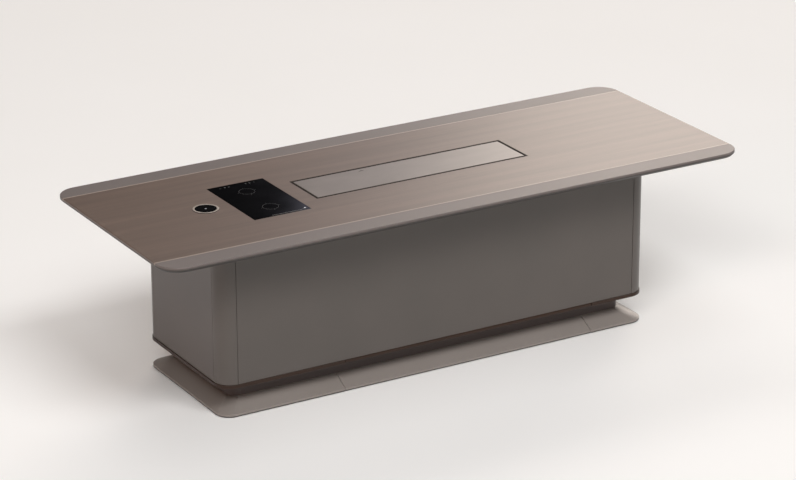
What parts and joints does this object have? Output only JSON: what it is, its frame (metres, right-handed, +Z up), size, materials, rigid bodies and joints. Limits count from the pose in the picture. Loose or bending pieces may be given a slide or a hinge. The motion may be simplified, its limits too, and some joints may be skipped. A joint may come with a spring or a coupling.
{
  "type": "tea table",
  "caption": "Long cabinet tea table on a recessed neck and sloping foot, its veneered top set with a draining tray, a flush hob and a lifting round socket.",
  "frame": {"origin": "on the floor under the middle of the top", "axes": "+X along the table to the visitor's right, +Y from the visitor's side to the host's side, +Z up"},
  "size_m": [2.6, 1, 0.752],
  "materials": {
    "walnut_veneer": "satin",
    "grey_lacquer": "satin",
    "strip_lacquer": "satin",
    "foot_lacquer": "satin",
    "dark_lacquer": "satin",
    "carcass_board": "matt",
    "drawer_board": "matt",
    "top_board": "matt",
    "tray_frame_metal": "anodised",
    "tray_slab": "satin",
    "pan_steel": "brushed",
    "black_plastic": "moulded",
    "hob_glass": "polished black",
    "coil_copper": "enamelled wire",
    "socket_ring": "satin",
    "socket_cap": "gloss",
    "outlet_plastic": "gloss",
    "pull_metal": "anodised",
    "zinc_steel": "zinc plated",
    "glide_rubber": "matt"
  },
  "bodies": {
    "cabinet": {"top_core": "top_board", "veneer_panel": "walnut_veneer", "edge_strip_front": "strip_lacquer", "edge_strip_back": "strip_lacquer", "tray_frame": "tray_frame_metal", "drain_pan": "pan_steel", "drain_spigot": "black_plastic", "hob_glass": "hob_glass", "hob_housing": "black_plastic", "hob_coils": "coil_copper", "socket_flange": "socket_ring", "socket_sleeve": "black_plastic", "socket_nut": "black_plastic", "front_panel": "grey_lacquer", "left_end_panel": "grey_lacquer", "right_end_panel": "grey_lacquer", "front_left_post": "grey_lacquer", "front_right_post": "grey_lacquer", "back_left_post": "grey_lacquer", "back_right_post": "grey_lacquer", "base_board_left": "dark_lacquer", "base_board_centre": "dark_lacquer", "base_board_right": "dark_lacquer", "left_partition": "carcass_board", "middle_partition": "carcass_board", "right_partition": "carcass_board", "shelf": "carcass_board", "shelf_pins": "zinc_steel", "top_cleats": "carcass_board", "back_rail": "grey_lacquer", "neck_front_board": "dark_lacquer", "neck_back_board": "dark_lacquer", "neck_left_block": "dark_lacquer", "neck_right_block": "dark_lacquer", "neck_ribs": "carcass_board", "foot_left": "foot_lacquer", "foot_centre": "foot_lacquer", "foot_right": "foot_lacquer", "glides": "glide_rubber", "cable_grommet": "black_plastic", "door_pivots": "zinc_steel", "drawer_runners": "zinc_steel"},
    "left_door": {"left_door": "grey_lacquer", "left_door_pull": "pull_metal"},
    "centre_door": {"centre_door": "grey_lacquer", "centre_door_pull": "pull_metal"},
    "right_door": {"right_door": "grey_lacquer", "right_door_pull": "pull_metal"},
    "upper_drawer": {"upper_drawer_front": "grey_lacquer", "upper_drawer_box": "drawer_board", "upper_drawer_pull": "pull_metal", "upper_drawer_slides": "zinc_steel"},
    "lower_drawer": {"lower_drawer_front": "grey_lacquer", "lower_drawer_box": "drawer_board", "lower_drawer_pull": "pull_metal", "lower_drawer_slides": "zinc_steel"},
    "socket_tower": {"socket_tower": "black_plastic", "socket_cap": "socket_cap", "socket_outlets": "outlet_plastic"},
    "tray_slab": {"tray_slab": "tray_slab"}
  },
  "joints": [
    {"name": "left_door_hinge", "type": "hinge", "parent": "cabinet", "child": "left_door", "pos_m": [-0.8995, 0.348, 0.137], "axis": [0, 0, 1], "range_deg": [0, 95]},
    {"name": "centre_door_hinge", "type": "hinge", "parent": "cabinet", "child": "centre_door", "pos_m": [-0.4895, 0.348, 0.137], "axis": [0, 0, 1], "range_deg": [0, 95]},
    {"name": "right_door_hinge", "type": "hinge", "parent": "cabinet", "child": "right_door", "pos_m": [0.8995, 0.348, 0.137], "axis": [0, 0, -1], "range_deg": [0, 95]},
    {"name": "upper_drawer_slide", "type": "slide", "parent": "cabinet", "child": "upper_drawer", "axis": [0, 1, 0], "range_m": [0, 0.35]},
    {"name": "lower_drawer_slide", "type": "slide", "parent": "cabinet", "child": "lower_drawer", "axis": [0, 1, 0], "range_m": [0, 0.35]},
    {"name": "socket_lift", "type": "slide", "parent": "cabinet", "child": "socket_tower", "axis": [0, 0, 1], "range_m": [0, 0.18]},
    {"name": "tray_slab_lift", "type": "slide", "parent": "cabinet", "child": "tray_slab", "axis": [0, 0, 1], "range_m": [0, 0.15]}
  ]
}
